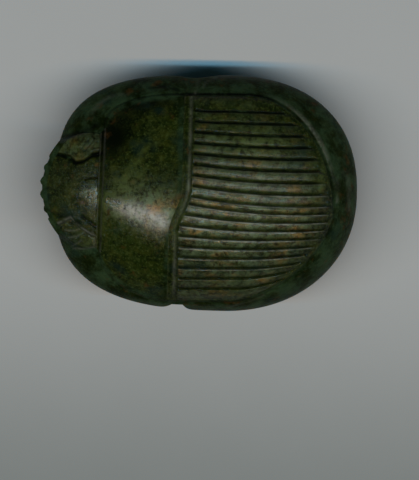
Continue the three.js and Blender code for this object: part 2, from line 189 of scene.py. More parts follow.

# Incised strokes in plan: three places on each as shares of the length and the width, the line's half
# width and depth in millimetres, and how much pale dust, or below 0 how much painted shade, lies in it.
# On the rim streaks the pale colour is a painted highlight.
STROKES = {
    "eye_line_down": (((-0.329, -0.18), (-0.323, -0.209), (-0.323, -0.243)), 0.2, 0.14, 0.35),
    "eye_line_back": (((-0.325, -0.243), (-0.356, -0.251), (-0.388, -0.25)), 0.2, 0.12, 0.25),
    "eye_hatch_1": (((-0.415, -0.174), (-0.393, -0.176), (-0.371, -0.169)), 0.16, 0.1, 0.25),
    "eye_hatch_2": (((-0.402, -0.204), (-0.38, -0.199), (-0.355, -0.181)), 0.16, 0.1, 0.25),
    "eye_hatch_3": (((-0.394, -0.242), (-0.382, -0.233), (-0.363, -0.215)), 0.16, 0.1, 0.2),
    "eye_pit_1": (((-0.402, -0.142), (-0.398, -0.145), (-0.394, -0.148)), 0.3, 0.15, -0.8),
    "eye_pit_2": (((-0.38, -0.137), (-0.376, -0.139), (-0.372, -0.142)), 0.28, 0.15, -0.8),
    "brow": (((-0.362, -0.117), (-0.343, -0.134), (-0.32, -0.158)), 0.3, 0.22, -0.9),
    "shield_dash": (((-0.356, 0.042), (-0.337, 0.047), (-0.318, 0.049)), 0.16, 0.15, -0.9),
    "tooth_crease_1": (((-0.483, -0.084), (-0.454, -0.104), (-0.425, -0.113)), 0.3, 0.18, -0.4),
    "tooth_crease_2": (((-0.484, 0.001), (-0.472, 0.002), (-0.453, -0.006)), 0.3, 0.18, -0.4),
    "cheek_recess": (((-0.429, 0.219), (-0.379, 0.238), (-0.326, 0.27)), 0.55, 0.4, -0.8),
    "cheek_corner": (((-0.332, 0.148), (-0.32, 0.152), (-0.307, 0.155)), 0.42, 0.3, -1),
    "cheek_hatch_1": (((-0.375, 0.165), (-0.361, 0.188), (-0.35, 0.208)), 0.13, 0.08, -0.5),
    "cheek_hatch_2": (((-0.36, 0.163), (-0.346, 0.185), (-0.334, 0.206)), 0.13, 0.08, -0.5),
    "cheek_hatch_3": (((-0.344, 0.167), (-0.332, 0.187), (-0.321, 0.204)), 0.13, 0.08, -0.5),
    "foreleg": (((-0.24, 0.408), (-0.312, 0.372), (-0.345, 0.294)), 0.25, 0.16, 0.15),
    "chest_corner_line": (((-0.161, 0.432), (-0.099, 0.441), (-0.054, 0.406)), 0.3, 0.3, -0.9),
    "chest_rim_line": (((-0.143, 0.45), (-0.105, 0.455), (-0.077, 0.478)), 0.22, 0.2, -0.7),
    "channel": (((-0.011, 0.48), (-0.015, 0.446), (-0.019, 0.403)), 0.4, 0.3, 0.1),
    "shoulder_line": (((0.193, 0.402), (0.138, 0.439), (0.084, 0.471)), 0.22, 0.16, -0.3),
    "shoulder_tick": (((0.005, 0.447), (0.021, 0.473), (0.046, 0.49)), 0.2, 0.2, 0.2),
    "lower_shoulder": (((0.215, -0.428), (0.162, -0.459), (0.103, -0.483)), 0.22, 0.14, 0.1),
    "chest_scratch": (((-0.144, 0.036), (-0.116, 0.035), (-0.087, 0.03)), 0.1, 0.015, -0.3),
    # Painted highlights: pale streaks where the rim's edges catch the lights
    "rim_painted_glint_1": (((0.429, 0.076), (0.437, 0.025), (0.434, -0.03)), 0.15, 0.08, 0.3),
    "rim_painted_glint_2": (((0.46, 0.102), (0.473, 0.026), (0.473, -0.058)), 0.3, 0.1, 0.2),
}

# Soft patches of tone in plan: the middle as shares of the length and the width, the reach along and
# across in millimetres, the turn in degrees and how much lighter or darker the stone is. Some patches are
# painted light: painted highlight and sheen where the lights' glint falls, and painted shade at the
# chest's upper edge.
TONES_AND_PAINTED_LIGHT = {
    "cheek": ((-0.371, 0.183), 3.0, 1.3, 0, 0.5),
    # Painted highlight: the head's glint by the collar
    "head_painted_highlight": ((-0.335, -0.025), 2.2, 1.2, -30, 0.9),
    "chest_light": ((-0.2, 0.13), 9.0, 2.4, 66, 0.55),
    # Painted sheen: the chest paler about the lights' glint
    "chest_painted_sheen": ((-0.2, -0.06), 7.5, 4.5, -12, 0.6),
    "chest_dark": ((-0.27, 0.213), 4.5, 4.5, 0, -1.0),
    # Painted shade along the chest's upper edge, turned from the lights
    "chest_corner_painted_shade": ((-0.17, 0.38), 6.0, 2.5, 0, -0.9),
    # The wing cases paler in the middle: stone tone and painted sheen about the lights' glint
    "wings": ((0.163, -0.05), 15.0, 7.0, 0, 0.4),
    "wing_shoulder": ((0.1, 0.42), 9.0, 2.5, -8, -0.5),
    # Painted sheen: a broad pale band on the upper ridges where the lights' glint falls
    "wing_top_painted_sheen": ((0.165, 0.24), 9.0, 4.5, 0, 0.35),
    "wing_patch": ((0.16, 0.2), 4.5, 1.8, 0, 0.6),
    # Painted highlight: a pale strip along the wing cases' border by the tail
    "tail_painted_highlight": ((0.386, 0.075), 4.5, 0.6, 84, 0.7),
    "rear_rim": ((0.44, -0.1), 2.0, 8.0, 0, -0.2),
}

# Grid: how many lengthwise lines, and how many rows in each region of the back. The outline's head is
# found in a few passes, and the rim blends into it over a share of the head's border.
LINES = 290
ROWS = {"head": 48, "collar": 9, "chest": 44, "waist": 20, "wings": 94}
OUTLINE_PASSES = 12
HEAD_BLEND = 0.05

# Legs on the flanks: width and relief in millimetres, the soft edge as shares of half the width, where
# the relief starts on the flank, and strokes with X as a share of the length and Z of the height
LEG_WIDTH = 2.8
LEG_RELIEF = 1.0
LEG_EDGE = (0.25, 1.35)
LEG_START = 0.3
LEG_STROKES = (
    ((-0.11, 0.34), (-0.3, 0.29), (-0.42, 0.19)),
    ((-0.06, 0.33), (0.06, 0.22), (0.17, 0.18)),
    ((0.08, 0.34), (0.25, 0.27), (0.42, 0.18)),
)

# Colours of the stone, its dust and painted highlights, and its painted shade
BLACK_GREEN = (0.0015, 0.0030, 0.0005)
DEEP_GREEN = (0.0040, 0.0085, 0.0008)
MOSS_GREEN = (0.012, 0.022, 0.002)
OLIVE = (0.030, 0.037, 0.004)
PALE_GREEN = (0.056, 0.078, 0.018)
GREY_GREEN = (0.112, 0.152, 0.076)
TEAL = (0.006, 0.018, 0.013)
RIM_GREEN = (0.029, 0.057, 0.026)
RUST = (0.026, 0.014, 0.004)
BROWN = (0.060, 0.028, 0.006)
TAN = (0.23, 0.135, 0.036)
# Pale dust in the carved lines, and painted highlights in the same pale colour
PALE_DUST_AND_HIGHLIGHT = (0.34, 0.35, 0.28)
# Near-black painted shade for the carved lines, grooves and creases
SHADE_BLACK = (0.0010, 0.0015, 0.0010)

# Noises of the stone: features per metre, detail, roughness and distortion
STONE_NOISES = {
    "clouds": (130, 3, 0.6, 0.6),
    "mottle": (480, 5, 0.7, 0),
    "specks": (900, 4, 0.7, 0.4),
    "grain": (2400, 3, 0.75, 0),
    "rim_clouds": (300, 4, 0.65, 0),
    "teal_spots": (210, 2, 0.5, 0),
    "brown_spots": (340, 3, 0.6, 0),
    "wear_and_sheen_spots": (620, 5, 0.8, 0),
    "tan_spots": (260, 3, 0.6, 0),
    "pits": (1100, 4, 0.8, 0),
    "shade_spots": (800, 4, 0.7, 0),
    "dust_and_highlight_spots": (1000, 3, 0.7, 0),
}

# The stone's surface: ranges of roughness and of specular level, the clear polish and the grain's relief
ROUGHNESS = (0.3, 0.45)
SPECULAR = (0.015, 0.12)
POLISH = {"weight": 0.95, "roughness": 0.06, "ior": 1.66}
GRAIN_RELIEF = 0.1 * MM

# The floor's two colours of paper with fibres, each a pair, far from the view's lower edge and near it, where
# painted shade makes the paper darker
FLOOR_FAR = ((0.47, 0.48, 0.475), (0.49, 0.50, 0.495))
FLOOR_NEAR = ((0.25, 0.27, 0.262), (0.27, 0.29, 0.282))
FLOOR_FADE = (-0.06, -0.005)
FLOOR_HALF = 3.0

# Studio light, in metres, degrees and watts: two long strips above, tilted towards -Y, and a faint world
LIGHT_DISTANCE = 1.2
LIGHT_SIZE = (3.0, 0.03)
LIGHTS = {
    "warm_strip": {"tilt": 14.0, "power": 12.6, "colour": (1.0, 0.53, 0.17)},
    "cool_strip": {"tilt": 9.8, "power": 14.3, "colour": (0.29, 0.70, 1.0)},
}
WORLD_COLOUR = (0.35, 0.85, 1.0)
WORLD_STRENGTH = 0.028

# Camera: its aim and the height of its view in millimetres, its distance in metres, its turn in degrees
CAMERA_AIM = (2.09, -8.07)
CAMERA_VIEW = 81.77
CAMERA_DISTANCE = 1.5
CAMERA_TURN = 1.5
SENSOR_WIDTH = 36.0


def lerp(start, end, share):
    """The value a share of the way from start to end."""
    return start + (end - start) * share


def smoothstep(value, low, high):
    """0 below low, 1 above high, and 3 s^2 - 2 s^3 between them."""
    share = np.clip((value - low) / (high - low), 0, 1)
    return share * share * (3 - 2 * share)


def bell(offset, reach):
    """e to the minus (offset / reach) squared."""
    return np.exp(-((offset / reach) ** 2))


def hump(share):
    """A parabola that is 0 at both ends and 1 in the middle."""
    return 4 * share * (1 - share)


def by_side(v, pair):
    """The first value of the pair on the upper side, v >= 0, and the second on the lower side."""
    return np.where(v >= 0, pair[0], pair[1])


def spread(count, crowding):
    """Places from 0 to 1 whose spacing is the inverse of crowding(place)."""
    fine = np.linspace(0, 1, 40 * count)
    total = np.cumsum(crowding(fine))
    return np.interp(np.linspace(total[0], total[-1], count), total, fine)


def ripple(x, y, length, waves=7):
    """Gentle unevenness of hand work: a sum of sine waves in random directions, about -1 to 1."""
    total = np.zeros(np.broadcast(x, y).shape)
    for _ in range(waves):
        turn, phase = RANDOM.uniform(0, 2 * np.pi, 2)
        wave = 2 * np.pi / (length * RANDOM.uniform(0.6, 1.6))
        total = total + np.sin(wave * (x * np.cos(turn) + y * np.sin(turn)) + phase)
    return total / np.sqrt(waves)


def path_distance(x, y, points):
    """Distance from the nearest place on a path of straight pieces."""
    nearest = np.full(np.broadcast(x, y).shape, np.inf)
    for (ax, ay), (bx, by) in zip(points[:-1], points[1:]):
        run = (bx - ax, by - ay)
        share = ((x - ax) * run[0] + (y - ay) * run[1]) / (run[0] ** 2 + run[1] ** 2)
        share = np.clip(share, 0, 1)
        nearest = np.minimum(nearest, np.hypot(x - ax - share * run[0], y - ay - share * run[1]))
    return nearest


def oval_radius(angle):
    """Radius from the oval's widest place: (|cos|/reach)^p + (|sin|/half width)^p, to the power -1/p."""
    side = np.sin(angle)
    front = np.cos(angle) < 0
    reach = np.where(front, OVAL["centre_x"] - OVAL["front_x"], 0.5 - OVAL["centre_x"]) * LENGTH
    power = np.where(front, by_side(side, OVAL["front_powers"]), by_side(side, OVAL["tail_powers"]))
    along = (np.abs(np.cos(angle)) / reach) ** power
    across = (np.abs(side) / (WIDTH / 2)) ** power
    return (along + across) ** (-1 / power)


def head_arc_x(y):
    """Front edge of the head: a parabola in y."""
    offset = (y / WIDTH - HEAD["middle_y"]) * 2
    return (HEAD["bow"] * offset**2 - 0.5) * LENGTH


def tooth_cut(y):
    """Cut between neighbouring tooth tips: the share of the way from a tip, raised to a power."""
    cut = np.zeros(y.shape)
    tips = np.array(TOOTH_PLACES) * WIDTH
    for upper, lower in zip(tips[:-1], tips[1:]):
        from_tip = np.minimum(upper - y, y - lower) / ((upper - lower) / 2)
        cut = np.maximum(cut, TOOTH_DEPTH * np.clip(from_tip, 0, 1) ** TOOTH_SHARPNESS)
    return cut


def outline_points(angle):
    """The widest outline on rays from the oval's centre: the oval less the waist notches, or the head."""
    centre = OVAL["centre_x"] * LENGTH
    cosine, sine = np.cos(angle), np.sin(angle)
    oval = oval_radius(angle)
    x = centre + oval * cosine
    offset = (x / LENGTH - by_side(sine, NOTCHES["x"])) / by_side(sine, NOTCHES["spread"])
    notched = oval - by_side(sine, NOTCHES["depth"]) * WIDTH * bell(offset, 1)
    head = oval
    for _ in range(OUTLINE_PASSES):
        y = head * sine
        front = (head_arc_x(y) + tooth_cut(y) - centre) / np.minimum(cosine, -0.5)
        head = np.where(cosine < -0.5, front, oval)
    radius = np.where(cosine > -HEAD["ray_spread"], notched, np.maximum(head, oval))
    return centre + radius * cosine, radius * sine


def waist_x(y):
    """Front of the waist: it steps forward on the lower side."""
    step = smoothstep(-y / WIDTH, -WAIST["step_from_y"], -WAIST["step_to_y"])
    return lerp(*WAIST["x"], step) * LENGTH


def dome_height(x, y):
    """(1 - r^crown)^shoulder of the rise, less a soft hollow across the waist. r is the share of the way
    out: by the oval at the edge, and by an ellipse round the beetle's middle line at the crown."""
    dx = x - OVAL["centre_x"] * LENGTH
    edge = np.clip(np.hypot(dx, y) / oval_radius(np.arctan2(y, dx)), 0, 1)
    reach = np.where(dx < 0, OVAL["centre_x"] - OVAL["front_x"], 0.5 - OVAL["centre_x"]) * LENGTH
    middle = np.interp(x / LENGTH, MIDDLE_LINE["x"], MIDDLE_LINE["y"]) * WIDTH
    half_width = WIDTH / 2 + np.where(y > middle, -middle, middle)
    crown = np.hypot(dx / reach, (y - middle) / half_width)
    share = np.clip(lerp(crown, edge, edge**DOME_SQUARING), 0, 1)
    rise = (1 - share**DOME_CROWN) ** DOME_SHOULDER
    hollow = WAIST_DEPTH * bell((x - waist_x(y)) / LENGTH, WAIST["hollow"]) * rise
    return EDGE_HEIGHT + (HEIGHT - EDGE_HEIGHT) * rise - hollow


def head_height(x, y):
    """A step below the chest, falling to the teeth by a power curve and to both sides by a parabola."""
    rear = HEAD["rear_x"][1] * LENGTH
    start = dome_height(np.float64(rear), HEAD["middle_y"] * WIDTH) - HEAD_STEP
    forward = np.clip((rear - x) / (rear + LENGTH / 2), 0, 1)
    sideways = (y / WIDTH - HEAD["middle_y"]) / HEAD["front_y"][0]
    return start - HEAD_DROP * forward**HEAD_FALL - HEAD_SIDE_DROP * sideways**2


def groove_beds():
    """Middle of each lengthwise groove, from the upper border, v = 1, over the seam to v = -1."""
    ridges = UPPER_GROOVES - 1 + SEAM_RIDGE_SHARE + EDGE_RIDGE_SHARE
    upper = (np.arange(UPPER_GROOVES - 1, -1, -1) + SEAM_RIDGE_SHARE) / ridges
    return np.concatenate([upper, -np.arange(LOWER_GROOVES + 1) / (LOWER_GROOVES + 1)])


BEDS = groove_beds()


def lengthwise_lines():
    """Places v of the lengthwise lines from 1 to -1, three times as close together over the grooves."""
    def crowding(share):
        v = 1 - 2 * share
        nearest = np.abs(v[:, None] - BEDS).min(axis=1)
        return 1 + 2.2 * bell(nearest, 0.02) + 1.5 * (v > 0.95)
    return 1 - 2 * spread(LINES, crowding)


V = lengthwise_lines()
EVEN = np.linspace(0, 1, LINES)


def head_front():
    y = lerp(*HEAD["front_y"], EVEN) * WIDTH
    return head_arc_x(y) + HEAD_RIM, y


def head_rear():
    return lerp(*HEAD["rear_x"], EVEN) * LENGTH, lerp(*HEAD["rear_y"], EVEN) * WIDTH


def chest_front():
    return head_rear()[0] + COLLAR_WIDTH, lerp(*CHEST["front_y"], EVEN) * WIDTH


def chest_rear():
    y = lerp(WINGS["seam_front_y"], by_side(V, WINGS["front_y"]), np.abs(V)) * WIDTH
    return waist_x(y), y


def wing_front():
    x, y = chest_rear()
    return x + WAIST_WIDTH, y


def wing_end():
    """Where each line meets the border behind the wing cases, a power curve round the apex."""
    from_seam = by_side(V, WINGS["end_width"]) * np.abs(V)
    share = np.clip(from_seam / by_side(V, WINGS["arc_width"]), 0, 1)
    power = by_side(V, WINGS["power"])
    rise = (1 - share**power) ** (1 / power)
    x = lerp(by_side(V, WINGS["arc_x"]), WINGS["apex"][0], rise) * LENGTH
    return x, (WINGS["apex"][1] + np.sign(V) * from_seam) * WIDTH


def head_side(side, t, front, rear):
    """The cheek's outer edge bows outwards by a parabola."""
    bow = HEAD["cheek_bow"] * WIDTH * hump(t)
    return lerp(front[0], rear[0], t), lerp(front[1], rear[1], t) + (bow if side == 0 else -bow)


def chest_side(side, t, front, rear):
    """The chest's rounded corner: a power curve from the collar to the waist."""
    power = 2 / CHEST["corner"][side]
    turn = t * np.pi / 2
    back = 1 - np.cos(turn) ** power
    return lerp(front[0], rear[0], back), lerp(front[1], rear[1], np.sin(turn) ** power)


def wing_side(side, t, front, rear):
    """The wing case's side leads into the border arc over the first half of its length."""
    x = lerp(front[0], rear[0], t)
    arc_x, power = WINGS["arc_x"][side], WINGS["power"][side]
    share = np.clip((x / LENGTH - arc_x) / (WINGS["apex"][0] - arc_x), 0, 1)
    sign = 1 if side == 0 else -1
    border = (WINGS["apex"][1] + sign * WINGS["arc_width"][side] * (1 - share**power) ** (1 / power)) * WIDTH
    return x, lerp(front[1], border, smoothstep(t, 0, 0.5))


def region_plan(front, rear, steps, side=None, bow=0, spacing=np.asarray):
    """Plan of one region: straight from its front line to its rear line, pushed to its side contour by
    |v|^reach. Returns x, y and the share t of the way back, one row for each step."""
    t = spacing(np.linspace(0, 1, steps + 1))[:, None]
    x, y = lerp(front[0], rear[0], t), lerp(front[1], rear[1], t)
    if side:
        for number, edge in enumerate((0, -1)):
            edge_front, edge_rear = (front[0][edge], front[1][edge]), (rear[0][edge], rear[1][edge])
            contour = side(number, t, edge_front, edge_rear)
            pull = np.where((V >= 0) == (number == 0), np.abs(V) ** CONTOUR_REACH, 0)
            x = x + (contour[0] - lerp(edge_front[0], edge_rear[0], t)) * pull
            y = y + (contour[1] - lerp(edge_front[1], edge_rear[1], t)) * pull
    y = y + bow * WIDTH * hump(t) * (1 - np.abs(V))
    return x, y, t


def layer(x, y, z, dust_and_highlight=0.0, wear_and_sheen=0.0, painted_shade=0.0, polish=1.0):
    """One block of the skin: its places, and the four masks of its surface."""
    return np.stack(np.broadcast_arrays(x, y, z, dust_and_highlight, wear_and_sheen, painted_shade, polish))


def head_rows():
    """The head: the cheeks stand a little above the shield, behind a groove that bends inwards."""
    x, y, t = region_plan(head_front(), head_rear(), ROWS["head"], head_side)
    z, dust_and_highlight, wear_and_sheen, painted_shade = head_height(x, y), 0.0, 0.0, 0.0
    for share, line in zip((EVEN, 1 - EVEN), CHEEK_LINES):
        inwards = (share - np.interp(t, line["back"], line["across"])) / CHEEK_HALF_WIDTH
        groove = bell(inwards, 1)
        z = z - line["depth"] * groove + CHEEK_RISE * smoothstep(-inwards, 0, 1.5)
        dust_and_highlight = np.maximum(dust_and_highlight, line["dust_and_highlight"] * groove)
        # Painted shade beside each cheek groove, less where the line holds dust
        painted_shade = np.maximum(painted_shade, (1 - line["dust_and_highlight"]) * bell(inwards - 0.3, 1.2))
        wear_and_sheen = np.maximum(wear_and_sheen, line["wear_and_sheen"] * smoothstep(-inwards, 0.5, 1.5))
    glint = HEAD_GLINT["polish"] * bell(y - HEAD_GLINT["y"], HEAD_GLINT["reach"]) * smoothstep(t, 0.55, 0.9)
    return layer(x, y, z, dust_and_highlight, wear_and_sheen, painted_shade, (1 - painted_shade) * (HEAD_POLISH + glint))


def collar_rows():
    """The collar between head and chest: two fine incised lines, and the step up to the chest."""
    x, y, t = region_plan(head_rear(), chest_front(), ROWS["collar"])
    lines = np.max([bell(t - place, COLLAR_LINES["half_width"]) for place in COLLAR_LINES["places"]], axis=0)
    rise = smoothstep(t, COLLAR_RISE_FROM, 1)
    z = lerp(head_height(x, y), dome_height(x, y), rise) - COLLAR_LINES["depth"] * lines
    return layer(x, y, z, COLLAR_LINES["dust_and_highlight"] * lines, polish=COLLAR_POLISH)


def chest_rows():
    """The chest: the smooth dome, polished along a glint, with a painted warm sheen in tan and grey green
    beside it and pale painted highlight specks in it. Across is the way up from the glint's middle line,
    and the glint ends sooner above it than below it."""
    x, y, t = region_plan(chest_front(), chest_rear(), ROWS["chest"], chest_side)
    across = y - lerp(*CHEST_GLINT["y"], t)
    reach = lerp(*CHEST_GLINT["reach"], smoothstep(t, 0, 0.6))
    reach = reach * lerp(1, CHEST_GLINT["upper_share"], smoothstep(across, -0.5, 0.5))
    ends = smoothstep(1 - np.abs(V), 0, 0.06) * smoothstep(1 - t, 0.01, 0.1)
    # Painted warm sheen on both sides of the glint, in the worn colours
    upper = bell(across - CHEST_UPPER_WARM_SHEEN["above"], CHEST_UPPER_WARM_SHEEN["reach"]) * smoothstep(t, 0.15, 0.7)
    lower = bell(across + CHEST_LOWER_WARM_SHEEN["below"], CHEST_LOWER_WARM_SHEEN["reach"]) * hump(t)
    # Pale painted highlight specks along the glint
    dust_and_highlight = bell(across + CHEST_HIGHLIGHT_SPECKS["below"], CHEST_HIGHLIGHT_SPECKS["reach"]) * smoothstep(t, 0.05, 0.4)
    return layer(x, y, dome_height(x, y), CHEST_HIGHLIGHT_SPECKS["amount"] * dust_and_highlight,
                 np.maximum(upper, CHEST_LOWER_WARM_SHEEN["amount"] * lower),
                 polish=ends * lerp(CHEST_POLISH, 1, bell(across, reach)))


def waist_rows():
    """The waist: a thin line behind the chest and a wider one before the wing cases, dusty in patches, with
    painted shade in patches between them and before the wing cases.
    """
    x, y, t = region_plan(chest_rear(), wing_front(), ROWS["waist"])
    z, dust_and_highlight = dome_height(x, y) - WAIST_HOLLOW * np.sin(np.pi * t), 0
    for line in WAIST_LINES:
        cut = bell(t - line["place"], line["half_width"])
        z, dust_and_highlight = z - line["depth"] * cut, dust_and_highlight + line["dust_and_highlight"] * cut
    # Painted shade in the hollow between the lines and before the wing cases
    dirt = sum(bell(t - place, half_width) for place, half_width in WAIST_SHADE["beds"])
    patchy = 0.6 + 0.4 * ripple(x, y, WAIST_PATCH_LENGTH, 5)
    return layer(x, y, z, dust_and_highlight * patchy, painted_shade=WAIST_SHADE["amount"] * dirt * patchy, polish=WAIST_POLISH)


def wing_row_places(share):
    """Places of the rows from front to rear, closer together at both ends."""
    return lerp(share, (1 - np.cos(np.pi * share)) / 2, WING_ROW_CROWDING)


def wing_grooves(x, y):
    """How deep the grooves are cut and how much painted shade lies in them. A groove is a bell in the
    distance from its bed, which wanders a little."""
    per_v = np.abs(np.gradient(y, V, axis=1))
    along = x[:, LINES // 2][:, None]
    cut, painted_shade = np.zeros(x.shape), np.zeros(x.shape)
    for bed in BEDS:
        wander = GROOVE_WANDER["amount"] * ripple(along, np.float64(0), GROOVE_WANDER["length"], 4)
        uneven = GROOVE_UNEVENNESS["amount"] * ripple(along, np.float64(0), GROOVE_UNEVENNESS["length"], 4)
        offset = (V - bed) * per_v - wander
        cut = np.maximum(cut, GROOVE_DEPTH * (1 + uneven) * bell(offset, GROOVE_HALF_WIDTH))
        # Painted shade in each groove, shifted a little from its bed
        painted_shade = np.maximum(painted_shade, bell(offset - GROOVE_SHADE["above"], GROOVE_SHADE["reach"]))
    return cut, painted_shade


def wing_rows():
    """The wing cases: ridges between narrow grooves. Down is the way from a ridge's upper groove to its
    lower one. A ridge has rounded edges, by a power of the distance from its middle, and slopes a
    little, so that its upper edge stands out as a crest, with a pale painted highlight line on it. The worn
    tops are rougher and paler, and paler still in a painted sheen along the band where the lights' glint
    falls. Painted shade lies in the grooves."""
    front, rear = wing_front(), wing_end()
    x, y, t = region_plan(front, rear, ROWS["wings"], wing_side, WINGS["seam_bow"], wing_row_places)
    along = x[:, LINES // 2][:, None]
    cut, painted_shade = wing_grooves(x, y)
    edges = np.concatenate([[1], BEDS, [-1]])[::-1]
    down = 1 - np.interp(V, edges, np.arange(len(edges))) % 1
    crown = RIDGE_CROWN * np.abs(2 * down - 1) ** RIDGE_CROWN_POWER
    wall = smoothstep(down - 1, -RIDGE_WALL, RIDGE_WALL) + smoothstep(down, -RIDGE_WALL, RIDGE_WALL) - 1
    slope = RIDGE_TILT * (0.5 - down + wall)
    ends = smoothstep(t, 0, 0.02) * smoothstep(1 - t, 0, GROOVE_RUN_OUT)
    z = dome_height(x, y) + (slope - cut - crown) * ends

    # The band about the lights' glint, where wear and painted sheen are strongest
    in_middle = bell(y - WING_WEAR_AND_SHEEN["middle_y"], WING_WEAR_AND_SHEEN["reach"])
    wear_and_sheen = ends * smoothstep(down, 0.02, 0.2) * smoothstep(1 - down, 0.05, 0.42)
    wear_and_sheen *= lerp(WING_WEAR_AND_SHEEN["edge_share"], 1, in_middle)
    wear_and_sheen *= lerp(1, WING_WEAR_AND_SHEEN["tail_share"], smoothstep(t, 0.68, 0.97))
    wear_and_sheen *= 0.75 + 0.25 * ripple(along, y, WING_WEAR_AND_SHEEN["patch_length"], 5)
    # A pale painted highlight line along each ridge's upper crest
    crest = WING_CREST["dust_and_highlight"] * ends * bell(down - WING_CREST["place"], WING_CREST["half_width"])
    crest *= bell(y - WING_CREST["middle_y"], WING_CREST["reach"]) * smoothstep(1 - np.abs(V), 0.02, 0.1)
    crest *= lerp(1, WING_CREST["tail_share"], smoothstep(t, 0.7, 0.97))
    crest *= 0.75 + 0.25 * ripple(along + 9, y, WING_CREST["patch_length"], 5)
    # Painted shade in the grooves, weaker towards -Y, and none under the painted crest highlight
    painted_shade *= ends * lerp(1, GROOVE_SHADE["middle_share"], smoothstep(-y, -7, 5)) * (1 - np.minimum(crest, 1))
    polish = (1 - painted_shade) * lerp(WING_POLISH["edge"], WING_POLISH["middle"], in_middle)
    return layer(x, y, z, crest, wear_and_sheen, painted_shade, np.minimum(polish + WING_POLISH["crest"] * crest, 1))


def leg_relief(x, z):
    """How far the flank stands out over the folded legs, 1 on a leg and 0 beside it."""
    nearest = np.full(x.shape, np.inf)
    for path in LEG_STROKES:
        points = [(px * LENGTH, pz * HEIGHT) for px, pz in path]
        nearest = np.minimum(nearest, path_distance(x, z, points))
    return LEG_RELIEF * (1 - smoothstep(nearest / (LEG_WIDTH / 2), *LEG_EDGE))


def waist_cut(x, y):
    """The sunk band of the waist, carried on over the rim."""
    across = np.clip((x - waist_x(y)) / WAIST_WIDTH, 0, 1)
    return WAIST_DEPTH * np.sin(np.pi * across)


def body_rings(border_x, border_y, border_z, head_count):
    """Rings outside the back's grid, one vertex for each border vertex, on rays from the oval's centre:
    over the rim to the outline, in under it and down the flank, and round the plate."""
    centre = OVAL["centre_x"] * LENGTH
    angle = np.arctan2(border_y, border_x - centre)
    out_x, out_y = outline_points(angle)
    order = np.arange(len(angle))
    head_share = np.clip(np.minimum(order, head_count - 1 - order) / (HEAD_BLEND * head_count), 0, 1)

    def top_height(x, y):
        return lerp(dome_height(x, y) - waist_cut(x, y), head_height(x, y), head_share)

    width = np.hypot(out_x - border_x, out_y - border_y)
    difference = border_z - top_height(border_x, border_y)
    distances = [np.full(width.shape, step) for step in RIM_DISTANCES]
    distances += [lerp(RIM_DISTANCES[-1], width, share) for share in RIM_SHARES]
    facing_up = smoothstep(np.sin(angle), 0.75, 0.95)
    tail_corner = bell(angle - TAIL_PAINTED_GLINT["angle"], TAIL_PAINTED_GLINT["spread"])
    rings = []
    for distance in distances:
        x, y = lerp(border_x, out_x, distance / width), lerp(border_y, out_y, distance / width)
        line = bell(distance - BORDER_WIDTH / 2, BORDER_LINE_WIDTH) * (1 - head_share)
        z = top_height(x, y) + difference * (1 - smoothstep(distance, 0, RIM_BLEND)) - BORDER_DEPTH * line
        # Painted shade along the border, mostly on the side turned from the lights
        painted_shade = bell(distance - BORDER_SHADE["distance"], BORDER_SHADE["reach"]) * (1 - head_share)
        painted_shade = painted_shade * lerp(BORDER_SHADE["low_share"], 1, facing_up)
        # Painted highlight on the rim at the upper tail corner
        dust_and_highlight = TAIL_PAINTED_GLINT["amount"] * tail_corner * bell(distance - TAIL_PAINTED_GLINT["distance"], TAIL_PAINTED_GLINT["reach"])
        rings.append(layer(x, y, z, dust_and_highlight, painted_shade=painted_shade, polish=0.0))

    def inset_point(inset):
        radius = oval_radius(angle) - inset
        return centre + radius * np.cos(angle), radius * np.sin(angle)

    out_z = top_height(out_x, out_y)
    for share in FLANK_SHARES:
        z = lerp(out_z, PLATE_THICKNESS, share)
        relief = leg_relief(out_x, z) * smoothstep(np.float64(share), 0, LEG_START)
        turn = smoothstep(np.float64(share), *FLANK_TURN)
        in_x, in_y = inset_point(FLANK_INSET - relief)
        rings.append(layer(lerp(out_x, in_x, turn), lerp(out_y, in_y, turn), z, polish=0.0))

    for inset, z in (
        (PLATE_INSET + PLATE_ROUNDING, PLATE_THICKNESS),
        (PLATE_INSET, PLATE_THICKNESS - PLATE_ROUNDING),
        (PLATE_INSET, PLATE_CHAMFER + PLATE_ROUNDING),
        (PLATE_INSET + PLATE_ROUNDING / 2, PLATE_CHAMFER),
        (PLATE_INSET + PLATE_CHAMFER, 0),
    ):
        x, y = inset_point(inset)
        rings.append(layer(x, y, z, polish=0.0))
    return rings


def carve_strokes(x, y, z, dust_and_highlight, painted_shade):
    """Cuts the incised strokes into the top. Each runs through its three places as a parabola, and its
    depth is a bell in the distance from it. It holds pale dust, or below 0 painted shade; on the rim
    streaks the pale colour is a painted highlight."""
    on_top = smoothstep(z, EDGE_HEIGHT - 0.5, EDGE_HEIGHT + 1)
    share = np.linspace(0, 1, 9)
    for (start, middle, end), half_width, depth, pale_and_shade in STROKES.values():
        control = [2 * m - (a + b) / 2 for a, m, b in zip(start, middle, end)]
        curve = [(1 - share) ** 2 * a + 2 * share * (1 - share) * c + share**2 * b
                 for a, c, b in zip(start, control, end)]
        line = on_top * bell(path_distance(x, y, list(zip(curve[0] * LENGTH, curve[1] * WIDTH))), half_width)
        z = z - depth * line
        # Pale dust, and on the rim streaks a painted highlight
        dust_and_highlight = np.maximum(dust_and_highlight, pale_and_shade * line)
        # Painted shade in the stroke's hollow
        painted_shade = np.maximum(painted_shade, -pale_and_shade * line)
    return z, dust_and_highlight, painted_shade


